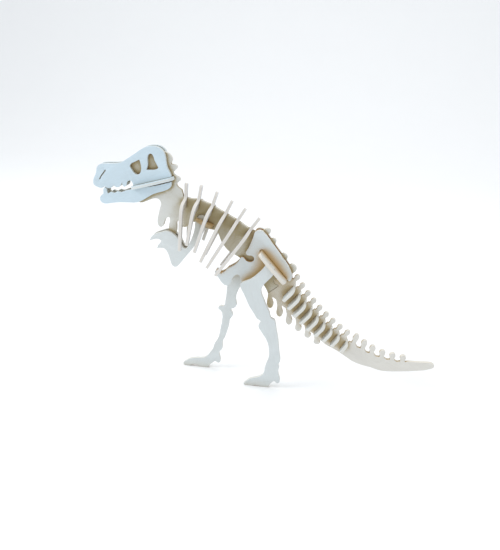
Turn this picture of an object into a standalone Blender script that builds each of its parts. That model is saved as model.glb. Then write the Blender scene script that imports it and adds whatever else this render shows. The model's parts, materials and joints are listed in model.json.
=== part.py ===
"""Slot-together T. rex skeleton: a free-standing puzzle of flat cut boards.

Every piece is one thickness of board. Long pieces (spine, tail, head sides, pelvis sides, legs, arms) stand upright in
planes of constant Y. Cross pieces (ribs, tail vertebrae, palate, shoulder plate, hip shelf) lie across them. They meet in
half-lap slots, in mortises and, between spine and tail, in one round jigsaw knob.

Frame: +X runs from head to tail, +Z is up, the feet stand on z = 0, and the spine board is centred on y = 0. The animal's
left side is at -Y. Outlines are drawn in millimetres as (x, z) on an upright piece and (y, height) on a cross piece. A
point marked C is a sharp corner; the others are passed smoothly.
"""

import math

import bmesh
import bpy
from mathutils import Matrix, Vector

MM = 0.001
BOARD = 3.0  # thickness of every piece
FIT = 0.2  # clearance on each side of a board in its slot
END_GAP = 0.3  # clearance at the bottom of a slot
ORIGIN_X = 18.4  # the drawing's x at the middle of the overall length
CURVE_STEPS = 2  # segments between two smooth points

SIDE_Y = 3.3  # middle plane of the pieces that lie against the spine: head, arm and pelvis sides
LEG_Y = 12.2

PALATE_FRONT, PALATE_REAR = (-113.6, 210.0), (-71.6, 221.0)
PALATE_HALF = 8.4
PALATE_LAP = -93.6  # x where the neck's slot ends and the palate's begins
CHEEK_X = -108.2  # x of the closed end of the head sides' slot

SHOULDER_FRONT, SHOULDER_REAR = (-51.5, 182.8), (-35.5, 175.3)
SHOULDER_HALF = 8.6
ARM_LAP = 5.6  # how far the arm notch runs into the shoulder plate

SHELF_FRONT, SHELF_REAR = (11.5, 154.2), (36.5, 124.2)
SHELF_HALF = 16.6
TENON_FROM, TENON_TO = 14.5, 21.0  # along the shelf from its front end
LEG_FROM, LEG_TO = 12.0, 24.5  # where the leg's head meets the shelf

STICK = 3.5  # width of a rib's neural spine
# x and z where the rib crosses the top of the spine, lean in degrees, leg length, outer half width, tip half width
RIBS = (
    (-62.0, 202.0, 5.5, 50.0, 17.0, 14.8),
    (-49.2, 200.8, 13.0, 43.0, 18.5, 16.5),
    (-35.9, 195.6, 20.0, 46.0, 18.8, 17.0),
    (-23.2, 188.4, 27.0, 55.0, 18.5, 9.5),
    (-11.6, 182.0, 32.0, 58.0, 18.0, 8.0),
    (1.0, 173.8, 36.0, 57.5, 17.0, 12.6),
)
RIB_STICK = 14.0
RIB_CROSSBAR = 10.0  # depth of the rib above the spine's sides
RIB_LAP = 5.0
RIB_LEG = 4.8  # width of a leg

# The tail's first nine knobs stand along its falling upper edge, a little further apart at each step
KNOB_START = (44.5, 123.0)
KNOB_STEP, KNOB_GROWTH = (5.25, -8.75), (0.18, 0.185)
KNOB_HEIGHT, KNOB_HALF = 7.5, 2.6
# The six knobs on the tail's thin end: x and z of the root, lean, height, half width
END_KNOBS = ((107.5, 57.0, 15.0, 11.5, 3.0), (117.0, 51.5, 10.0, 10.5, 3.0), (126.5, 47.0, 5.0, 9.5, 3.0), (137.0, 43.5, 2.0, 8.5, 3.0), (147.5, 41.5, 0.0, 8.0, 3.0), (158.0, 40.5, 0.0, 7.5, 3.0))
# Lobes hang from its lower edge at an even pitch, from back to front, longer towards the hip
LOBES, LOBE_START, LOBE_STEP, LOBE_HALF = 6, (70.4, 57.5), (-9.9, 9.1), 3.3
# A tail vertebra sits midway between each two knobs of the first ten: lean, depth of its lower end, half width
VERTEBRAE = (
    (39.0, 20.0, 12.6),
    (39.0, 20.5, 12.6),
    (39.0, 21.0, 12.4),
    (38.0, 20.5, 12.0),
    (37.0, 20.0, 11.6),
    (36.0, 19.0, 11.0),
    (35.0, 18.0, 10.4),
    (34.0, 16.5, 9.6),
    (31.0, 15.0, 8.8),
)
VERTEBRA_TOP = 3.5  # how far a vertebra's top lies below the tail's upper edge
VERTEBRA_LAP = 8.5

SPLICE_TOP, SPLICE_BOTTOM = (42.5, 127.0), (18.6, 107.0)
JIGSAW_HEAD, JIGSAW_NECK, JIGSAW_REACH = 3.2, 1.9, 4.6

C = "corner"
UP = Vector((0.0, 0.0, 1.0))
ACROSS = Vector((0.0, 1.0, 0.0))

WHITE_BOARD = (0.83, 0.83, 0.80)
COOL_BOARD = (0.74, 0.79, 0.83)
WARM_BOARD = (0.84, 0.81, 0.74)


# ---------------------------------------------------------------- outlines


def clear_scene():
    for obj in list(bpy.data.objects):
        bpy.data.objects.remove(obj, do_unlink=True)


def lean(degrees):
    """The direction of a cross piece's height, leaning back from upright."""
    a = math.radians(degrees)
    return Vector((math.sin(a), 0.0, math.cos(a)))


def world(x, z, y=0.0):
    return Vector((x - ORIGIN_X, y, z))


def line(a, b):
    """(direction, upward normal, length) of a line drawn from a to b in the x-z plane."""
    step = Vector((b[0] - a[0], 0.0, b[1] - a[1]))
    along = step.normalized()
    return along, Vector((-along.z, 0.0, along.x)), step.length


def knob(x, z, degrees, height, half=3.0):
    """A rounded knob on an edge drawn with x rising; it leans back by degrees from upright."""
    up, side = lean(degrees), lean(degrees + 90.0)
    shape = ((-half * 0.75, 0.0), (-half, height * 0.55), (-half * 0.72, height * 0.88), (0.0, height), (half * 0.72, height * 0.88), (half, height * 0.55), (half * 0.75, 0.0))
    return [(x + side.x * s + up.x * h, z + side.z * s + up.z * h) for s, h in shape]


def jigsaw(grow, shift):
    """Points of the splice from top to bottom: a straight cut with one round knob reaching forward into the spine."""
    along, _, length = line(SPLICE_TOP, SPLICE_BOTTOM)
    ahead = Vector((along.z, 0.0, -along.x))
    top = Vector((SPLICE_TOP[0], 0.0, SPLICE_TOP[1])) - ahead * shift
    middle, reach = length / 2, JIGSAW_REACH + shift

    def at(s, h, *mark):
        p = top + along * s + ahead * h
        return (p.x, p.z, *mark)

    neck, head = JIGSAW_NECK + grow, JIGSAW_HEAD + grow
    start = math.asin(neck / head)
    ring = [math.pi - start - (2 * math.pi - 2 * start) * i / 10 for i in range(11)]
    points = [at(0.0, 0.0, C), at(middle - neck, 0.0, C)]
    points += [at(middle - head * math.sin(math.pi - a), reach + head * math.cos(a)) for a in ring]
    return points + [at(middle + neck, 0.0, C), at(length, 0.0, C)]


def mirrored(half):
    """A symmetric cross piece from the side at +y, drawn from the top middle to the bottom middle."""
    return half + [(-p[0], *p[1:]) for p in reversed(half) if p[0]]


def rib_outline(length, outer, tip):
    inner = outer - RIB_LEG
    bar = RIB_CROSSBAR
    s = STICK / 2
    return mirrored(
        [
            (0.0, RIB_STICK),
            (s * 0.75, RIB_STICK - 0.5),
            (s, RIB_STICK - 1.8),
            (s, 1.2),
            (s + 1.4, -0.8),
            (outer * 0.5, -2.0),
            (outer * 0.82, -5.0),
            (outer * 0.97, -11.0),
            (outer, -0.32 * length),
            (outer * 0.55 + tip * 0.45 + 0.6, -0.66 * length),
            (tip + 1.9, -length + 4.0),
            (tip + 1.5, -length + 0.8),
            (tip, -length),
            (tip - 1.7, -length + 1.0),
            (tip - 2.2, -length + 4.0),
            (inner * 0.55 + (tip - 2.2) * 0.45 + 0.3, -0.66 * length),
            (inner, -0.34 * length),
            (inner - 0.2, -bar - 4.5),
            (inner - 2.0, -bar - 1.2),
            (inner - 5.0, -bar, C),
            (0.0, -bar, C),
        ]
    )


def vertebra_outline(length, half):
    top = -VERTEBRA_TOP
    return mirrored(
        [
            (0.0, top),
            (half * 0.45, top + 0.2),
            (half * 0.82, top - 0.5),
            (half, top - 2.6),
            (half * 0.98, -0.62 * length),
            (half * 0.90, -length + 1.6),
            (half * 0.66, -length),
            (3.8, -length + 0.5),
            (0.0, -length + 0.5, C),
        ]
    )


HEAD = [
    (-152.6, 213.5), (-151.1, 218.5), (-148.6, 222.5), (-147.1, 228), (-144.1, 231.2), (-139.6, 232.2), (-132.6, 232.5), (-125.6, 233),
    (-121.1, 234.2), (-116.6, 237), (-111.6, 240), (-106.1, 243.5), (-100.6, 247), (-95.6, 249.2), (-89.6, 250), (-84.6, 249.2), (-80.6, 246.5),
    (-78.4, 242), (-77.8, 236), (-77, 230.5), (-74.8, 226), (-73.6, 222.2, C),
    (CHEEK_X, 213.2, C), (CHEEK_X, 209.7, C), (-100.6, 211.2), (-93.6, 212.4), (-85.6, 214.2), (-79.1, 216), (-74, 217.5, C),
    (-74.4, 213.4), (-77.6, 210.2), (-85.6, 207.2), (-92.6, 204.8), (-98.1, 201.8), (-103.1, 198.7), (-109.1, 196), (-117.6, 195.3),
    (-127.6, 195), (-135.6, 194), (-141.1, 193), (-145.6, 193.5), (-147.8, 196.5), (-146.6, 200.5), (-143.6, 203), (-143.1, 207.2),
    (-141.2, 209.4), (-139.4, 207), (-138.8, 203.4), (-135.6, 205.2), (-132.1, 204), (-128.6, 206), (-125.1, 205.2), (-120.6, 207),
    (-115.6, 208.2), (-112, 209.8, C), (-112.2, 213), (-113.2, 216), (-115.2, 217), (-117.6, 215.6), (-118.6, 212.6, C), (-121, 210.6),
    (-122.8, 212.2), (-123, 215.2, C), (-125.2, 211.2), (-129.1, 209.8), (-132.2, 211.6, C), (-134.6, 209.3), (-138.6, 208.6), (-141.6, 210.2, C),
    (-144.6, 208.4), (-148.8, 209.4), (-151.6, 210.8),
]
EYE_FRONT = [(-113.6, 231.4), (-108.1, 235), (-103.6, 237.2, C), (-102.5, 232), (-103, 226.6), (-105.6, 223.2), (-109, 223.6), (-112, 227.6)]
EYE_REAR = [(-97.4, 228, C), (-95.6, 233), (-95.4, 239.6), (-93, 243), (-90.4, 242.2), (-88.8, 237), (-85.6, 230.4, C), (-88, 228.6), (-92.6, 228)]
NOSTRIL = [(-138.2, 226.4), (-139.5, 224), (-141.6, 221.6), (-144, 218.8), (-145.8, 216.6), (-144.8, 219.2), (-142.4, 222.4), (-140.2, 224.8)]

SPINE_TOP = [
    (-111, 216), (-114, 220), (-117, 224.6), (-117.2, 229.4), (-114, 233), (-107.5, 236.6), (-100, 240.4), (-92, 243.2), (-84.5, 245), (-77.6, 244),
    (-73.6, 240.8), (-72.8, 237), (-74.4, 233.6),
    (-71.4, 233), (-68.6, 231.8), (-69.2, 229), (-72.8, 225.6), (-70.6, 222.6), (-67, 221), (-66.2, 218.4), (-70.2, 214.8),
    (-68.6, 211.6), (-65.2, 209), (-64, 203.6), (-62, 202), (-56, 201.2), (-49.2, 200.8), (-42.5, 198.6), (-35.9, 195.6),
    (-29.5, 192), (-23.2, 188.4), (-17.3, 185.4), (-11.6, 182), (-5, 177.6), (1, 173.8), (6, 172), (11, 171.6),
    (15, 175), (18.6, 175.6), (20.4, 173.4), (19.4, 170.8), (16.6, 169), (18.6, 164.6), (21.4, 165.6), (24.6, 165.6), (25.8, 162.6),
    (24.2, 159.8), (22.4, 158), (26, 153), (29.6, 149.2), (32.4, 151), (35.6, 150.4), (37.2, 147.2), (35.8, 144.2), (34.2, 142),
    (37.8, 138.6), (41, 140.4), (44.4, 139.4), (46.4, 135.8), (44.8, 132.4), (42.4, 130.4),
]
SPINE_UNDER = [
    (16.6, 111.8), (12.8, 117.2), (8, 122), (2, 129), (-4, 138), (-9, 143), (-15, 146.6), (-21, 150), (-25, 154.6), (-28.4, 160), (-30.4, 166),
    (-33, 170.4), (-38, 171.4), (-43, 172.6), (-48, 176), (-53, 178), (-58, 177.6), (-61.4, 173.8), (-65, 172), (-68.4, 174), (-71, 178.6),
    (-72.6, 172), (-74, 165), (-76.6, 162), (-79.6, 163.6), (-81, 169), (-80, 175.4), (-79.4, 181.4), (-82, 181), (-84.8, 176.4), (-87, 171.8),
    (-90, 171), (-92, 175), (-91.4, 180), (-90, 185), (-88.4, 190), (-87, 194.4), (-88, 198.2), (-91, 199.8), (-96, 198.8), (-102, 196.4),
    (-108, 194.8), (-110.8, 197.4), (-110.8, 204),
]
TAIL_END = [(163, 41), (175, 41.4), (184, 42), (188.4, 40.6), (189.4, 37.8), (187, 35.2), (172, 31), (157, 28.4), (143, 27), (135, 27.6), (127, 30), (117, 32), (108, 35.4), (101, 40), (93, 45.4), (85, 49.8), (78, 53.6)]

ARM = [
    (-50.8, 183.8), (-46.8, 186.2), (-42.6, 185), (-40.8, 181.4), (-41.8, 177), (-44.2, 171.9), (-47.4, 165.9), (-52, 158.7), (-57.8, 149.9), (-63.4, 143.3), (-68.8, 136.5),
    (-73.4, 131.3), (-76.8, 130.1), (-79.6, 132.9), (-80.8, 137.9), (-82.4, 143.9), (-84.4, 148.1), (-87.4, 149.9), (-90.8, 149.7), (-93.6, 148.9, C), (-92.2, 152.9),
    (-88.8, 156.7), (-90, 158.7), (-94.4, 159.1), (-100.6, 157.1, C), (-98.8, 160.9), (-94.4, 164.3), (-88.8, 166.3), (-84, 167.9), (-79.2, 167.7), (-75, 165.3),
    (-71.2, 161.1), (-68.6, 156.3), (-66, 151.3), (-63.4, 151.1), (-59.8, 156.7), (-55.8, 165.3), (-53.4, 173.3), (-52.8, 178.9),
]

PELVIS = [
    (5.8, 172.9), (9.3, 174.5), (13.3, 173.5), (18.8, 166.9), (24.8, 158.5), (31.8, 148.9), (38.4, 139.5), (42, 131.5), (42.2, 127.2), (41, 124.2),
    (38.2, 122.2, C), (18.4, 145.9, C), (16.8, 137, C), (10.4, 129), (2.4, 121.6), (-3.6, 117.6), (-7.6, 118.4),
    (-9, 123.5), (-10.8, 126.5), (-14.2, 125.7), (-17.2, 121.5), (-19.2, 116.5), (-23.2, 113.5), (-27.2, 115.5), (-31.2, 121.5), (-35.2, 127.7), (-33.6, 128.9),
    (-28.8, 126.1), (-22.2, 131.9), (-14.8, 136.5), (-10.6, 141.1), (-7.4, 146.1), (-5, 144.9), (-2.6, 142.1), (1.4, 141.3), (4.4, 143.1), (4.4, 146.5),
    (1.8, 148.1), (-1.8, 148.1), (-3.4, 150.7), (-0.8, 155.5), (2, 162.5), (4.2, 168.5),
]

LEG_LEFT = [
    (16, 140.2), (10, 133.2), (3, 126.8), (-3.2, 123.8), (-7.4, 120.8), (-6.8, 116), (-4, 110.4), (-1, 103), (2, 96), (6.4, 89), (9.4, 83.4), (13.4, 80.4), (11.6, 77.6), (11, 74.4), (13.6, 69), (18, 62),
    (21, 55), (22.2, 47), (22, 38), (20, 31.6), (18, 24), (16.6, 16.6), (13, 13), (7, 10.4), (1.6, 8.2), (-2.4, 4.4), (-4.6, 1.4),
    (-3, 0, C), (5, 0, C), (9, 1.4), (13, 0, C), (22, 0, C), (24, 4.4), (26.6, 7.4), (29, 8.6), (30.6, 6.6), (33, 6.6), (34.4, 10.6), (33, 17), (32.2, 22), (33.2, 26.6),
    (32.4, 31), (34, 34.4), (34, 39), (33, 46), (32.2, 54), (31, 64), (29.2, 74), (28.2, 80.4), (26.8, 84), (23.4, 85.6), (22.2, 91), (19, 98),
    (16, 106), (13.8, 112), (13.6, 117), (17, 123.4), (22, 129),
]
LEG_RIGHT = [
    (8, 136.5), (-6, 129), (-15, 123.6), (-21, 118), (-25, 110), (-26.4, 103), (-27, 96), (-28.4, 88), (-30.4, 81), (-33.6, 81.4), (-36.6, 78), (-33.4, 75), (-32, 70.4), (-32.4, 64), (-34.4, 54),
    (-36.4, 44), (-39, 37.6), (-42, 32.4), (-44, 25.6), (-47, 21), (-50.4, 16), (-55, 12.6), (-63, 11.4), (-70.6, 9.6), (-76, 6.2), (-79.6, 2.6),
    (-78, 0, C), (-71, 0, C), (-68, 2), (-64, 2), (-61, 0, C), (-50.6, 0, C), (-48, 4), (-44.6, 7.4), (-41.8, 9.6), (-39.6, 8), (-37, 8), (-35.6, 12), (-36.4, 17), (-36.8, 22), (-33.4, 26.6),
    (-32.8, 32), (-32.6, 36.4), (-29.6, 43), (-27, 51), (-25, 59), (-24, 65.4), (-20.6, 70.6), (-21.4, 74.6), (-22.8, 78), (-19.4, 79.6), (-16, 84),
    (-16.8, 88), (-17, 93), (-15.4, 98.6), (-12, 106), (-5, 114), (5, 121), (15, 126.6), (21.5, 130.5),
]


def leg_head():
    """The top of both legs: a straight edge under the hip shelf with one square tenon that goes up through it."""
    along, up, _ = line(SHELF_FRONT, SHELF_REAR)
    low, high = -BOARD / 2 - END_GAP, BOARD / 2

    def at(s, h):
        return (SHELF_FRONT[0] + along.x * s + up.x * h, SHELF_FRONT[1] + along.z * s + up.z * h, C)

    return [at(LEG_TO, low), at(TENON_TO, low), at(TENON_TO, high), at(TENON_FROM, high), at(TENON_FROM, low), at(LEG_FROM, low)]


def tail_knobs():
    """(x, z, lean, height, half width) of every knob on the tail, from the hip to its end."""
    steps = [(KNOB_START[0] + KNOB_STEP[0] * i + KNOB_GROWTH[0] * i * i, KNOB_START[1] + KNOB_STEP[1] * i + KNOB_GROWTH[1] * i * i, 39.0 - 0.8 * i, KNOB_HEIGHT, KNOB_HALF) for i in range(9)]
    return steps + list(END_KNOBS)


def tail_lobes():
    """Points of the lobes under the tail, drawn forwards along its lower edge."""
    points = []
    for i in range(LOBES):
        points += knob(LOBE_START[0] + LOBE_STEP[0] * i, LOBE_START[1] + LOBE_STEP[1] * i, 180.0, min(5.5 + 2.3 * i, 13.0), LOBE_HALF)
    return points


def tail_outline():
    knobs = [p for k in tail_knobs() for p in knob(*k)]
    splice = [(x, z, *mark) for x, z, *mark in reversed(jigsaw(0.0, 0.15))]
    return splice + knobs + TAIL_END + tail_lobes()


def spine_outline():
    return SPINE_TOP + jigsaw(FIT, -0.15) + SPINE_UNDER


# ---------------------------------------------------------------- pieces


def board(name, outlines, across, up, origin, colour, into):
    """One flat piece. Its outlines are drawn in its own plane, whose axes are across and up, and it is centred on that plane."""
    curve = bpy.data.curves.new(name, "CURVE")
    curve.dimensions = "2D"
    curve.fill_mode = "BOTH"
    curve.extrude = BOARD / 2 * MM
    curve.resolution_u = CURVE_STEPS
    for outline in outlines:
        spline = curve.splines.new("BEZIER")
        spline.use_cyclic_u = True
        spline.bezier_points.add(len(outline) - 1)
        for point, (a, b, *mark) in zip(spline.bezier_points, outline):
            kind = "VECTOR" if mark else "AUTO"
            point.handle_left_type = point.handle_right_type = kind
            point.co = (a * MM, b * MM, 0.0)
    drawn = bpy.data.objects.new(name + "_outline", curve)
    bpy.context.scene.collection.objects.link(drawn)
    across, up = Vector(across), Vector(up)
    turn = Matrix((across, up, across.cross(up))).transposed().to_4x4()
    drawn.matrix_world = Matrix.Translation(Vector(origin) * MM) @ turn
    bpy.context.view_layer.update()
    mesh = bpy.data.meshes.new_from_object(drawn.evaluated_get(bpy.context.evaluated_depsgraph_get()))
    shape = bmesh.new()
    shape.from_mesh(mesh)
    bmesh.ops.remove_doubles(shape, verts=shape.verts, dist=1e-6)
    bmesh.ops.recalc_face_normals(shape, faces=shape.faces)
    shape.to_mesh(mesh)
    shape.free()
    mesh.name = name
    piece = bpy.data.objects.new(name, mesh)
    into.objects.link(piece)
    piece.matrix_world = drawn.matrix_world.copy()
    bpy.data.objects.remove(drawn, do_unlink=True)
    bpy.data.curves.remove(curve)
    material = bpy.data.materials.new(name)
    material.use_nodes = True
    surface = material.node_tree.nodes["Principled BSDF"]
    surface.inputs["Base Color"].default_value = (*colour, 1.0)
    surface.inputs["Roughness"].default_value = 0.62
    surface.inputs["Metallic"].default_value = 0.0
    mesh.materials.clear()
    mesh.materials.append(material)
    return piece


def upright(name, outlines, anchor, y, colour, into):
    """A board in a plane of constant y, with its origin at the anchor, where it is slotted to its neighbour."""
    moved = [[(p[0] - anchor[0], p[1] - anchor[1], *p[2:]) for p in outline] for outline in outlines]
    return board(name, moved, (1, 0, 0), UP, world(*anchor, y), colour, into)


def crossing(name, outlines, anchor, height, colour, into):
    """A board across the spine, with its origin at the anchor on the spine's plane."""
    return board(name, outlines, ACROSS, height, world(*anchor), colour, into)


def cut(piece, boxes, into):
    """Cuts every slot of a piece at once. A box is (one end, other end, width direction, width, depth direction, depth)."""
    shape = bmesh.new()
    for start, end, wide, width, deep, depth in boxes:
        along = (end - start).normalized()
        turn = Matrix((wide.normalized(), deep.normalized(), along)).transposed()
        if turn.determinant() < 0:
            turn = Matrix((-wide.normalized(), deep.normalized(), along)).transposed()
        size = Matrix.Diagonal((width * MM, depth * MM, (end - start).length * MM, 1.0))
        bmesh.ops.create_cube(shape, size=1.0, matrix=Matrix.Translation((start + end) / 2 * MM) @ turn.to_4x4() @ size)
    mesh = bpy.data.meshes.new("slots_" + piece.name)
    bmesh.ops.recalc_face_normals(shape, faces=shape.faces)
    shape.to_mesh(mesh)
    shape.free()
    cutter = bpy.data.objects.new("slots_" + piece.name, mesh)
    cutter.hide_render = True
    cutter.display_type = "WIRE"
    into.objects.link(cutter)
    modifier = piece.modifiers.new("slots", "BOOLEAN")
    modifier.operation = "DIFFERENCE"
    modifier.solver = "EXACT"
    modifier.object = cutter


def main():
    clear_scene()
    scene = bpy.context.scene
    parts = bpy.data.collections.new("dinosaur_puzzle")
    cutters = bpy.data.collections.new("slot_cutters")
    scene.collection.children.link(parts)
    scene.collection.children.link(cutters)
    width, through = BOARD + 2 * FIT, BOARD + 4.0
    spine_cuts, tail_cuts = [], []

    # Ribs and tail vertebrae: each drops onto the spine or the tail from above in a half lap.
    for number, (x, z, degrees, length, outer, tip) in enumerate(RIBS, 1):
        height = lean(degrees)
        face = ACROSS.cross(height)
        top = world(x, z)
        rib = crossing(f"rib_{number}", [rib_outline(length, outer, tip)], (x, z), height, WHITE_BOARD, parts)
        spine_cuts.append((top - height * (RIB_LAP + END_GAP / 2), top + height * 6.0, face, width, ACROSS, through))
        cut(rib, [(top - height * (RIB_LAP - END_GAP / 2), top - height * (RIB_CROSSBAR + 2.0), ACROSS, width, face, through)], cutters)
    for number, (before, after, (degrees, length, half)) in enumerate(zip(tail_knobs(), tail_knobs()[1:], VERTEBRAE), 1):
        x, z = (before[0] + after[0]) / 2, (before[1] + after[1]) / 2
        height = lean(degrees)
        face = ACROSS.cross(height)
        top = world(x, z)
        vertebra = crossing(f"tail_vertebra_{number}", [vertebra_outline(length, half)], (x, z), height, WHITE_BOARD, parts)
        tail_cuts.append((top - height * (VERTEBRA_LAP + END_GAP / 2), top + height * 10.0, face, width, ACROSS, through))
        cut(vertebra, [(top - height * (VERTEBRA_LAP - END_GAP / 2), top - height * (length + 2.0), ACROSS, width, face, through)], cutters)

    # Palate: slides back into the neck in a half lap, and the head sides slide back onto it on both sides of the neck.
    along, up, length = line(PALATE_FRONT, PALATE_REAR)
    share = (PALATE_LAP - PALATE_FRONT[0]) / (PALATE_REAR[0] - PALATE_FRONT[0])
    lap = world(*PALATE_FRONT) + along * (length * share)
    half, nose = PALATE_HALF, PALATE_HALF - 1.6
    palate_shape = [
        (-nose, -length * share, C), (nose, -length * share, C), (half, -length * share + 3.0), (half, length * (1 - share) - 4.0),
        (half - 1.2, length * (1 - share) - 1.0), (half - 4.0, length * (1 - share), C), (4.0 - half, length * (1 - share), C),
        (1.2 - half, length * (1 - share) - 1.0), (-half, length * (1 - share) - 4.0), (-half, -length * share + 3.0),
    ]
    palate = board("palate_plate", [palate_shape], ACROSS, along, lap, COOL_BOARD, parts)
    spine_cuts.append((lap + along * (END_GAP / 2), lap - along * (length * share + 6.0), up, width, ACROSS, through))
    palate_cuts = [(lap - along * (END_GAP / 2), lap + along * length, ACROSS, width, up, through)]
    cheek = (CHEEK_X - PALATE_FRONT[0]) / along.x
    for side in (-1, 1):
        shift = ACROSS * (side * SIDE_Y)
        front = world(*PALATE_FRONT) + shift
        palate_cuts.append((front - along * 3.0, front + along * (cheek + 0.7), ACROSS, width, up, through))
    cut(palate, palate_cuts, cutters)
    for name, side in (("left", -1), ("right", 1)):
        upright(f"head_side_{name}", [HEAD, EYE_FRONT, EYE_REAR, NOSTRIL], (CHEEK_X, 211.4), side * SIDE_Y, COOL_BOARD, parts)

    # Shoulder plate: passes through a mortise in the spine, and each arm slides back onto it in a half lap.
    along, up, length = line(SHOULDER_FRONT, SHOULDER_REAR)
    middle = (world(*SHOULDER_FRONT) + world(*SHOULDER_REAR)) / 2
    half, reach = SHOULDER_HALF, length / 2
    shoulder_shape = [
        (-half + 2.0, -reach, C), (half - 2.0, -reach, C), (half, -reach + 2.0), (half, reach - 3.0), (half - 0.8, reach - 0.8), (half - 3.0, reach, C),
        (3.0 - half, reach, C), (0.8 - half, reach - 0.8), (-half, reach - 3.0), (-half, -reach + 2.0),
    ]
    shoulder = board("shoulder_plate", [shoulder_shape], ACROSS, along, middle, WHITE_BOARD, parts)
    spine_cuts.append((middle - along * (reach + END_GAP), middle + along * (reach + END_GAP), up, width, ACROSS, through))
    shoulder_cuts = []
    for name, side in (("left", -1), ("right", 1)):
        front = middle - along * reach + ACROSS * (side * SIDE_Y)
        lap = front + along * ARM_LAP
        shoulder_cuts.append((front - along * 3.0, lap + along * (END_GAP / 2), ACROSS, width, up, through))
        arm = upright(f"arm_{name}", [ARM], (lap.x + ORIGIN_X, lap.z), side * SIDE_Y, WHITE_BOARD, parts)
        cut(arm, [(lap - along * (END_GAP / 2), lap + along * 14.0, up, width, ACROSS, through)], cutters)
    cut(shoulder, shoulder_cuts, cutters)

    # Hip shelf: passes through a mortise in the spine. The pelvis sides straddle it from above and the legs' tenons go up into it.
    along, up, length = line(SHELF_FRONT, SHELF_REAR)
    middle = (world(*SHELF_FRONT) + world(*SHELF_REAR)) / 2
    half, reach = SHELF_HALF, length / 2
    shelf_shape = [
        (-half + 2.5, -reach, C), (half - 2.5, -reach, C), (half - 0.7, -reach + 0.8), (half, -reach + 3.0), (half, reach - 4.0), (half - 1.2, reach - 1.2), (half - 4.0, reach, C),
        (4.0 - half, reach, C), (1.2 - half, reach - 1.2), (-half, reach - 4.0), (-half, -reach + 3.0), (0.7 - half, -reach + 0.8),
    ]
    shelf = board("hip_shelf", [shelf_shape], ACROSS, along, middle, WHITE_BOARD, parts)
    mortise = (middle - along * (reach + END_GAP), middle + along * (reach + END_GAP), up, width, ACROSS, through)
    spine_cuts.append(mortise)
    shelf_cuts = []
    head = [(p[0], p[1], C) for p in leg_head()]
    for name, side, outline in (("left", -1, LEG_LEFT), ("right", 1, LEG_RIGHT)):
        start = world(*SHELF_FRONT) + ACROSS * (side * LEG_Y)
        shelf_cuts.append((start + along * (TENON_FROM - END_GAP), start + along * (TENON_TO + END_GAP), ACROSS, width, up, through))
        tenon = start + along * ((TENON_FROM + TENON_TO) / 2)
        upright(f"leg_{name}", [outline + head], (tenon.x + ORIGIN_X, tenon.z), side * LEG_Y, (WHITE_BOARD, COOL_BOARD)[side > 0], parts)
        pelvis = upright(f"pelvis_side_{name}", [PELVIS], (middle.x + ORIGIN_X, middle.z), side * SIDE_Y, WHITE_BOARD, parts)
        shift = ACROSS * (side * SIDE_Y)
        cut(pelvis, [(mortise[0] + shift, mortise[1] + shift + along * 8.0, *mortise[2:])], cutters)
    cut(shelf, shelf_cuts, cutters)

    # Spine and tail, one behind the other in the middle plane.
    spine = upright("spine_plate", [spine_outline()], (-20.0, 175.0), 0.0, WHITE_BOARD, parts)
    cut(spine, spine_cuts, cutters)
    tail = upright("tail_plate", [tail_outline()], ((SPLICE_TOP[0] + SPLICE_BOTTOM[0]) / 2, (SPLICE_TOP[1] + SPLICE_BOTTOM[1]) / 2), 0.0, WARM_BOARD, parts)
    cut(tail, tail_cuts, cutters)
    bpy.context.view_layer.update()


main()
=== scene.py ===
"""Looks of the slot-together dinosaur skeleton: thin white-painted plywood pieces on a pale studio floor.

Every CAD board is shown by a finer copy of itself with rounded arrises and its own board coordinates: along the grain,
across it, and through the thickness. One procedural painted-board material serves each material slot; its colour
carries a painted light tint per slot and painted shade in hollows.
"""

import json
import math

import bmesh
import bpy
import numpy as np
from mathutils import Matrix, Vector


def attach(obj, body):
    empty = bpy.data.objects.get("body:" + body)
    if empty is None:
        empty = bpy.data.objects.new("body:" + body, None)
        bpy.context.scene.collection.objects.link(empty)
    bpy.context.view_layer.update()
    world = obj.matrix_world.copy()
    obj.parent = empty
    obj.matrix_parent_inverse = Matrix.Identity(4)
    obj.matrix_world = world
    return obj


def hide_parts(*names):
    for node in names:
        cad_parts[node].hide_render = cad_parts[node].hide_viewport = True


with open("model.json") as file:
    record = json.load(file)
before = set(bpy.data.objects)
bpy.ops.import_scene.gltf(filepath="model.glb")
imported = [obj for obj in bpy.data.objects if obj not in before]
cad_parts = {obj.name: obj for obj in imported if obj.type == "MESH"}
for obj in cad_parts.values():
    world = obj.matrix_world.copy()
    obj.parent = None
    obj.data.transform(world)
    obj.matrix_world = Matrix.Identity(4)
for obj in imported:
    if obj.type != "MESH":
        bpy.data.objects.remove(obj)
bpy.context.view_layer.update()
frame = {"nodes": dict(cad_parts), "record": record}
record = frame["record"]

ARRIS = 0.00024  # rounding of a board's edges
HALF_BOARD = 1.5  # mm, half of a board's thickness
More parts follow.
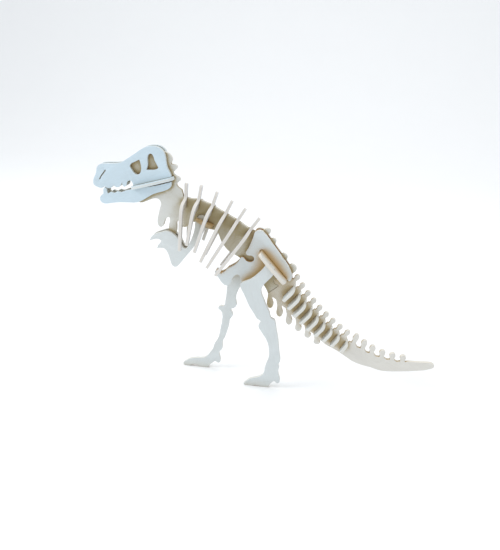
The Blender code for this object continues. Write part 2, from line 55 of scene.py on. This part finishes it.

# slot: (the white paint with the tint and brightness that light gives the slot's pieces painted in, bluer where the
# cool key falls and greyer and warmer on pieces that sit more in shade; painted shade colour in occluded hollows;
# painted colour of the deepest shade; wood under the paint; how strongly occlusion is painted as warm shade)
PAINT_AND_SHADE = {
    "head_board": ((0.565, 0.680, 0.755), (0.47, 0.45, 0.34), (0.26, 0.15, 0.06), (0.62, 0.49, 0.33), 0.65),
    "spine_board": ((0.66, 0.67, 0.645), (0.395, 0.325, 0.180), (0.235, 0.125, 0.04), (0.62, 0.47, 0.29), 2.10),
    "tail_board": ((0.690, 0.672, 0.625), (0.455, 0.355, 0.190), (0.28, 0.16, 0.06), (0.62, 0.47, 0.29), 1.75),
    "cross_board": ((0.69, 0.69, 0.665), (0.50, 0.345, 0.155), (0.36, 0.16, 0.04), (0.62, 0.47, 0.29), 1.50),
    "rib_board": ((0.660, 0.658, 0.665), (0.50, 0.43, 0.30), (0.27, 0.17, 0.08), (0.62, 0.49, 0.32), 0.70),
    "vertebra_board": ((0.68, 0.722, 0.735), (0.50, 0.42, 0.28), (0.28, 0.17, 0.07), (0.62, 0.49, 0.32), 0.55),
    "pelvis_board": ((0.640, 0.692, 0.712), (0.56, 0.385, 0.165), (0.42, 0.18, 0.04), (0.62, 0.47, 0.29), 1.30),
    "limb_board": ((0.635, 0.675, 0.680), (0.50, 0.46, 0.36), (0.28, 0.19, 0.10), (0.62, 0.49, 0.32), 0.80),
}


# ---------------------------------------------------------------- material


class Graph:
    """A short way to write a node tree."""

    def __init__(self, name):
        self.material = bpy.data.materials.new(name)
        self.material.use_nodes = True
        self.tree = self.material.node_tree
        self.tree.nodes.clear()

    def add(self, kind, inputs=None, **settings):
        node = self.tree.nodes.new(kind)
        for key, value in settings.items():
            setattr(node, key, value)
        for key, value in (inputs or {}).items():
            self.feed(node.inputs[key], value)
        return node

    def feed(self, socket, value):
        if isinstance(value, bpy.types.NodeSocket):
            self.tree.links.new(value, socket)
        else:
            socket.default_value = value

    def math(self, operation, a, b=0.0, clamp=False):
        return self.add("ShaderNodeMath", {0: a, 1: b}, operation=operation, use_clamp=clamp).outputs[0]

    def mix(self, share, a, b, blend="MIX"):
        node = self.add("ShaderNodeMix", data_type="RGBA", blend_type=blend)
        self.feed(node.inputs[0], share)
        self.feed(node.inputs[6], a)
        self.feed(node.inputs[7], b)
        return node.outputs[2]

    def step(self, value, low, high):
        return self.add("ShaderNodeMapRange", {0: value, 1: low, 2: high, 3: 0.0, 4: 1.0}, interpolation_type="SMOOTHSTEP").outputs[0]

    def noise(self, vector, scale, detail=4.0, rough=0.55, twist=0.0):
        return self.add("ShaderNodeTexNoise", {"Vector": vector, "Scale": scale, "Detail": detail, "Roughness": rough, "Distortion": twist}).outputs[0]


def rgba(colour):
    return (*colour, 1.0)


def painted_board(slot, lit_paint, shade, deep_shade, wood, shade_gain):
    g = Graph("painted_" + slot)
    place = g.add("ShaderNodeAttribute", attribute_name="board").outputs["Vector"]
    own = g.add("ShaderNodeAttribute", attribute_name="piece").outputs["Fac"]
    split = g.add("ShaderNodeSeparateXYZ", {0: place})
    through = g.math("ABSOLUTE", split.outputs[2])
    shifted = g.add("ShaderNodeVectorMath", {0: place, 1: (211.0, 97.0, 53.0)}, operation="MULTIPLY_ADD")
    g.feed(shifted.inputs[1], (1.0, 1.0, 1.0))
    offset = g.add("ShaderNodeCombineXYZ", {0: g.math("MULTIPLY", own, 431.0), 1: g.math("MULTIPLY", own, 173.0), 2: g.math("MULTIPLY", own, 71.0)})
    g.feed(shifted.inputs[2], offset.outputs[0])
    point = shifted.outputs[0]

    def stretched(x, y, z):
        return g.add("ShaderNodeVectorMath", {0: point, 1: (x, y, z)}, operation="MULTIPLY").outputs[0]

    # grain: a slow figure, long fibres, and short open pores, all in millimetres along, across and through the board
    figure = g.noise(stretched(0.018, 0.16, 0.16), 1.0, 3.0, 0.5, 0.6)
    rings = g.math("SINE", g.math("MULTIPLY", figure, 46.0))
    fibre = g.noise(stretched(0.10, 2.6, 2.6), 1.0, 5.0, 0.65)
    pores = g.step(g.noise(stretched(0.22, 4.2, 4.2), 1.0, 2.0, 0.5), 0.66, 0.78)
    cloud = g.noise(stretched(0.055, 0.055, 0.055), 1.0, 3.0, 0.6)
    roller = g.noise(stretched(1.9, 1.9, 1.9), 1.0, 3.0, 0.6)

    # the sawn edge: three plies, the middle one across the grain, with thin glue lines between them
    edge = g.math("SUBTRACT", 1.0, g.step(through, HALF_BOARD - 0.22, HALF_BOARD - 0.06))
    core = g.math("SUBTRACT", 1.0, g.step(through, 0.44, 0.54))
    glue = g.math("SUBTRACT", 1.0, g.step(g.math("ABSOLUTE", g.math("SUBTRACT", through, 0.5)), 0.03, 0.11))
    end_grain = g.noise(stretched(1.4, 1.4, 5.0), 1.0, 4.0, 0.6)

    # painted shade: where ambient occlusion finds close boards, the white is painted khaki and then brown, standing in
    # for their shadows and warm bounced light
    open_sky = g.add("ShaderNodeAmbientOcclusion", {"Distance": 0.020}, samples=8).outputs["AO"]
    close_by = g.add("ShaderNodeAmbientOcclusion", {"Distance": 0.006}, samples=8).outputs["AO"]
    painted_shade = g.math("MULTIPLY", g.math("SUBTRACT", 1.0, open_sky), shade_gain, clamp=True)
    painted_deep_shade = g.math("SUBTRACT", 1.0, close_by)

    # worn arrises: the paint is thin where the shader's rounded normal leaves the real one
    rounded = g.add("ShaderNodeBevel", {"Radius": 0.00055}, samples=6).outputs[0]
    flat = g.add("ShaderNodeNewGeometry").outputs["Normal"]
    turned = g.add("ShaderNodeVectorMath", {0: rounded, 1: flat}, operation="DOT_PRODUCT").outputs["Value"]
    arris = g.math("SUBTRACT", 1.0, g.step(turned, 0.80, 0.985))
    rub = g.step(g.noise(stretched(0.35, 0.35, 0.35), 1.0, 4.0, 0.65), 0.50, 0.66)
    worn = g.math("MULTIPLY", arris, rub)

    # base colour: the white paint with the slot's painted light tint, varied at random per piece
    colour = g.mix(g.math("MULTIPLY", own, 0.5), rgba(lit_paint), rgba([c * k for c, k in zip(lit_paint, (1.035, 1.0, 0.955))]))
    lighter = rgba([min(0.93, c * 1.07) for c in lit_paint])
    darker = rgba([c * k for c, k in zip(lit_paint, (0.90, 0.885, 0.855))])
    colour = g.mix(g.math("MULTIPLY", g.step(cloud, 0.38, 0.68), 0.55), colour, lighter)
    colour = g.mix(g.math("MULTIPLY", g.step(fibre, 0.42, 0.74), 0.34), colour, darker)
    colour = g.mix(g.math("MULTIPLY", g.step(rings, 0.35, 1.0), 0.16), colour, darker)
    colour = g.mix(g.math("MULTIPLY", pores, 0.42), colour, rgba([c * k for c, k in zip(lit_paint, (0.72, 0.66, 0.58))]))

    sawn = g.mix(0.42, rgba(lit_paint), rgba((0.86, 0.79, 0.66)))
    sawn = g.mix(g.math("MULTIPLY", core, 0.20), sawn, rgba((0.70, 0.58, 0.42)))
    sawn = g.mix(g.math("MULTIPLY", glue, 0.38), sawn, rgba((0.46, 0.34, 0.21)))
    sawn = g.mix(g.math("MULTIPLY", g.step(end_grain, 0.45, 0.75), 0.22), sawn, rgba((0.62, 0.52, 0.38)))
    colour = g.mix(g.math("MULTIPLY", edge, 0.72), colour, sawn)

    # painted shade: khaki in occluded hollows, brown in the deepest of them
    colour = g.mix(g.step(painted_shade, 0.16, 0.62), colour, rgba(shade))
    colour = g.mix(g.math("MULTIPLY", g.step(painted_deep_shade, 0.30, 0.85), g.step(painted_shade, 0.30, 0.80)), colour, rgba(deep_shade))
    colour = g.mix(g.math("MULTIPLY", worn, 0.50), colour, rgba(wood))

    rough = g.math("ADD", 0.52, g.math("MULTIPLY", roller, 0.16))
    rough = g.math("ADD", rough, g.math("MULTIPLY", edge, 0.14))
    rough = g.math("ADD", rough, g.math("MULTIPLY", worn, 0.10), clamp=True)
    height = g.math("ADD", g.math("MULTIPLY", fibre, 0.55), g.math("MULTIPLY", roller, 0.35))
    height = g.math("SUBTRACT", height, g.math("MULTIPLY", pores, 0.5))
    height = g.math("SUBTRACT", height, g.math("MULTIPLY", g.math("MULTIPLY", edge, glue), 0.9))
    bump = g.add("ShaderNodeBump", {"Strength": 0.35, "Distance": 0.00012, "Height": height})
    surface = g.add(
        "ShaderNodeBsdfPrincipled",
        {"Base Color": colour, "Roughness": rough, "Metallic": 0.0, "Specular IOR Level": 0.32, "Normal": bump.outputs[0], "Sheen Weight": 0.05, "Sheen Roughness": 0.6},
    )
    out = g.add("ShaderNodeOutputMaterial")
    g.tree.links.new(surface.outputs[0], out.inputs[0])
    return g.material


# ---------------------------------------------------------------- pieces


def board_axes(mesh, turn):
    """(centre, along the grain, across it, normal) of a flat piece, in metres."""
    count = len(mesh.polygons)
    normals, areas, centres = np.zeros(count * 3), np.zeros(count), np.zeros(count * 3)
    mesh.polygons.foreach_get("normal", normals)
    mesh.polygons.foreach_get("area", areas)
    mesh.polygons.foreach_get("center", centres)
    normals, centres = normals.reshape(-1, 3), centres.reshape(-1, 3)
    normal = np.linalg.eigh((normals * areas[:, None]).T @ normals)[1][:, -1]
    normal *= 1.0 if normal[np.argmax(np.abs(normal))] > 0 else -1.0
    points = np.array([v.co for v in mesh.vertices])
    depth = points @ normal
    centre = (centres * areas[:, None]).sum(0) / areas.sum()
    centre += normal * ((depth.max() + depth.min()) / 2 - centre @ normal)
    spread = centres - centre
    spread -= np.outer(spread @ normal, normal)
    long = np.linalg.eigh((spread * areas[:, None]).T @ spread)[1][:, -1]
    long *= 1.0 if long[np.argmax(np.abs(long))] > 0 else -1.0
    side = np.cross(normal, long)
    along = long * math.cos(turn) + side * math.sin(turn)
    return centre, along, np.cross(normal, along), normal


def fine_board(node, material, number):
    """A copy of a CAD board with its faces merged, its arrises rounded and its board coordinates stored."""
    source = frame["nodes"][node]
    shape = bmesh.new()
    shape.from_mesh(source.data)
    bmesh.ops.remove_doubles(shape, verts=shape.verts, dist=2e-6)
    bmesh.ops.dissolve_limit(shape, angle_limit=math.radians(0.6), verts=shape.verts, edges=shape.edges)
    mesh = bpy.data.meshes.new("fine_" + node)
    shape.to_mesh(mesh)
    shape.free()
    piece = bpy.data.objects.new("fine_" + node, mesh)
    bpy.context.scene.collection.objects.link(piece)
    bevel = piece.modifiers.new("arris", "BEVEL")
    bevel.width, bevel.segments, bevel.limit_method, bevel.angle_limit = ARRIS, 2, "ANGLE", math.radians(48)
    bevel.use_clamp_overlap, bevel.harden_normals = False, False
    bpy.context.view_layer.update()
    rounded = bpy.data.meshes.new_from_object(piece.evaluated_get(bpy.context.evaluated_depsgraph_get()))
    piece.modifiers.clear()
    piece.data = rounded
    bpy.data.meshes.remove(mesh)
    rounded.name = "fine_" + node
    rounded.shade_smooth()
    rounded.set_sharp_from_angle(angle=math.radians(24))

    centre, along, across, normal = board_axes(rounded, math.radians((number * 37) % 17 - 8))
    points = np.array([v.co for v in rounded.vertices]) - centre
    place = np.stack((points @ along, points @ across, points @ normal), 1) * 1000.0
    rounded.attributes.new("board", "FLOAT_VECTOR", "POINT").data.foreach_set("vector", place.ravel().astype(np.float32))
    own = (number * 0.618034) % 1.0
    rounded.attributes.new("piece", "FLOAT", "POINT").data.foreach_set("value", np.full(len(points), own, np.float32))
    rounded.materials.clear()
    rounded.materials.append(material)
    body = next(b for b, nodes in record["behaviour"]["bodies"].items() if node in nodes)
    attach(piece, body)
    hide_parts(node)
    return piece


materials = {slot: painted_board(slot, *look) for slot, look in PAINT_AND_SHADE.items()}
for number, part in enumerate(record["subparts"], 1):
    fine_board(part["node"], materials[part["material_slot"]], number)


# ---------------------------------------------------------------- stage, light, camera


def floor():
    mesh = bpy.data.meshes.new("floor")
    shape = bmesh.new()
    profile = [(-4.0, 0.0), (0.9, 0.0)]
    profile += [(0.9 + 1.2 * math.sin(a), 1.2 - 1.2 * math.cos(a)) for a in (math.radians(7.5 * i) for i in range(1, 13))] + [(2.1, 5.0)]
    rows = [[shape.verts.new((x, y, z)) for x in (-5.0, 5.0)] for y, z in profile]
    for low, high in zip(rows, rows[1:]):
        shape.faces.new((low[0], low[1], high[1], high[0]))
    shape.to_mesh(mesh)
    shape.free()
    mesh.shade_smooth()
    plane = bpy.data.objects.new("floor", mesh)
    bpy.context.scene.collection.objects.link(plane)
    g = Graph("pale_floor")
    where = g.add("ShaderNodeTexCoord").outputs["Object"]
    mottle = g.noise(where, 9.0, 3.0, 0.5)
    colour = g.mix(mottle, rgba((0.94, 0.94, 0.94)), rgba((0.955, 0.955, 0.955)))
    surface = g.add("ShaderNodeBsdfPrincipled", {"Base Color": colour, "Roughness": 0.85, "Specular IOR Level": 0.15})
    out = g.add("ShaderNodeOutputMaterial")
    g.tree.links.new(surface.outputs[0], out.inputs[0])
    mesh.materials.append(g.material)
    plane.location.z = -0.0002


def area(name, place, target, size, power, colour):
    lamp = bpy.data.lights.new(name, "AREA")
    lamp.shape, lamp.size, lamp.energy, lamp.color = "DISK", size, power, colour
    obj = bpy.data.objects.new(name, lamp)
    obj.location = place
    obj.rotation_euler = (Vector(target) - Vector(place)).to_track_quat("-Z", "Y").to_euler()
    bpy.context.scene.collection.objects.link(obj)


def camera():
    turn, rise, reach = math.radians(9.8), math.radians(25.0), 0.5
    target = Vector((-0.0184, 0.0, 0.125))
    ahead = Vector((-math.sin(turn) * math.cos(rise), math.cos(turn) * math.cos(rise), -math.sin(rise)))
    right = Vector((math.cos(turn), math.sin(turn), 0.0))
    up = right.cross(ahead)
    lens = bpy.data.cameras.new("camera")
    lens.lens, lens.sensor_width, lens.sensor_fit, lens.clip_start = 36.0, 36.0, "HORIZONTAL", 0.01
    view = bpy.data.objects.new("camera", lens)
    view.matrix_world = Matrix.Translation(target - ahead * reach) @ Matrix((right, up, -ahead)).transposed().to_4x4()
    bpy.context.scene.collection.objects.link(view)
    bpy.context.scene.camera = view


scene = bpy.context.scene
scene.view_settings.view_transform = "Standard"
world = bpy.data.worlds.new("studio")
scene.world = world
world.use_nodes = True
world.node_tree.nodes["Background"].inputs[0].default_value = (0.93, 0.965, 1.0, 1.0)
world.node_tree.nodes["Background"].inputs[1].default_value = 0.86
floor()
middle = (-0.01, 0.0, 0.11)
area("key", (-1.05, -0.30, 0.85), middle, 0.5, 5.5, (0.95, 0.98, 1.0))
area("top", (0.1, 0.25, 1.5), middle, 1.4, 7.0, (1.0, 0.99, 0.97))
camera()
